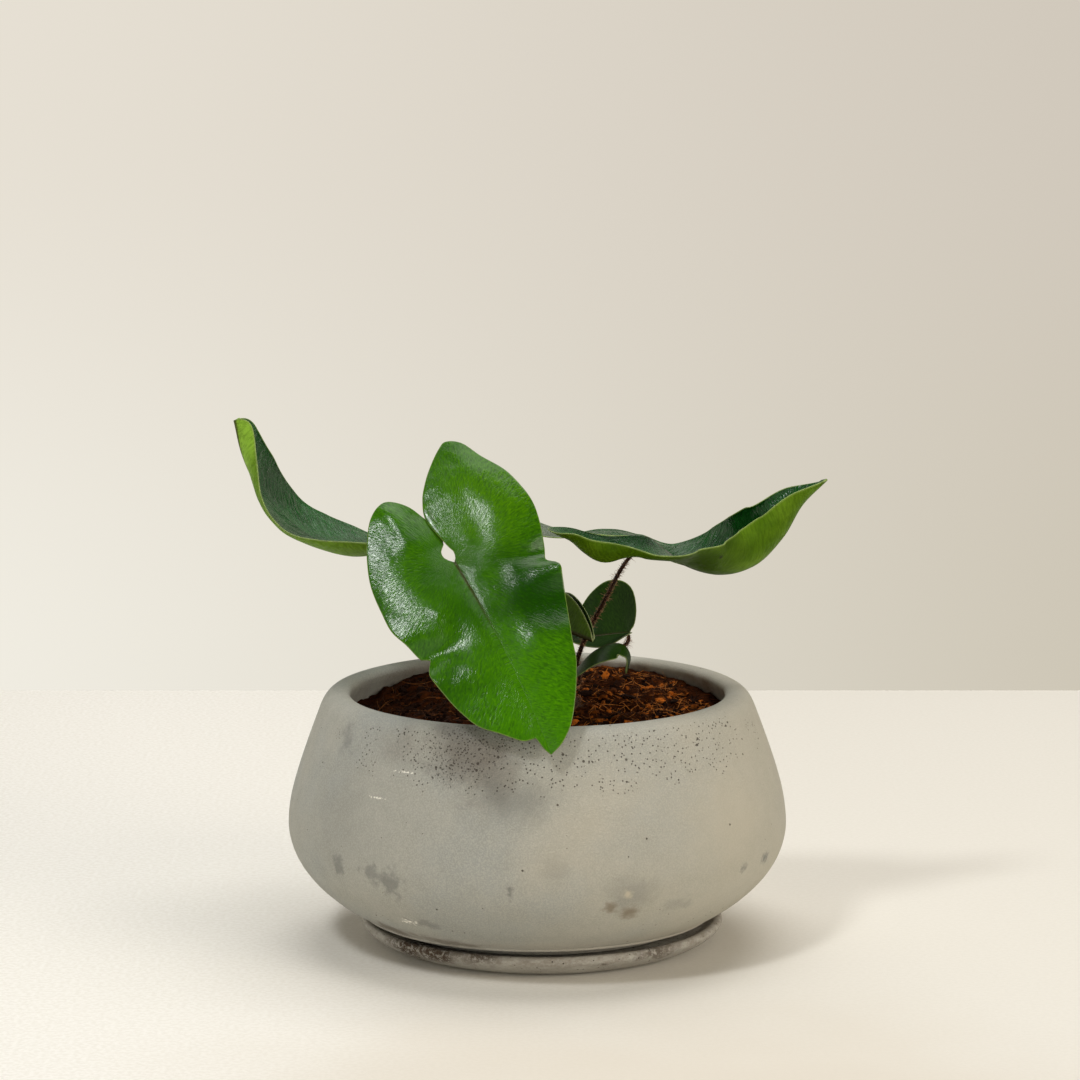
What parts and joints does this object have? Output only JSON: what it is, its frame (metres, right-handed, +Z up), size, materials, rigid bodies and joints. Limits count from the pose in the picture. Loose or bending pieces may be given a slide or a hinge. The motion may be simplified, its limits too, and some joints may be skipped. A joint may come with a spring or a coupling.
{
  "type": "potted heart fern",
  "caption": "Heart fern with heart-shaped blades on thin dark stalks, planted in a squat cast-concrete bowl that stands on a matching saucer.",
  "frame": {"origin": "centre of the saucer's flat underside, which stands on the surface", "axes": "+Z up, -Y towards the front as pictured, +X to the right as seen from the front"},
  "size_m": [0.1554, 0.1519, 0.1337],
  "materials": {
    "cast_concrete": "fair-faced grey concrete, matt, with pinholes and stains",
    "saucer_concrete": "grey concrete, matt, stained brown by water",
    "potting_mix": "dark moist coir and bark",
    "rhizome": "scaly dark brown",
    "blade": "leathery leaf, bright green, glossy above",
    "young_blade": "leathery young leaf, dark green",
    "stalk": "dark brown to black, hairy"
  },
  "bodies": {
    "root": {"bowl": "cast_concrete", "saucer": "saucer_concrete", "potting_mix": "potting_mix", "rhizome": "rhizome", "front_blade": "blade", "front_stalk": "stalk", "right_blade": "blade", "right_stalk": "stalk", "left_blade": "blade", "left_stalk": "stalk", "back_blade": "blade", "back_stalk": "stalk", "young_upright_blade": "young_blade", "young_upright_stalk": "stalk", "young_folded_blade": "young_blade", "young_folded_stalk": "stalk", "young_low_blade": "young_blade", "young_low_stalk": "stalk"}
  },
  "joints": []
}
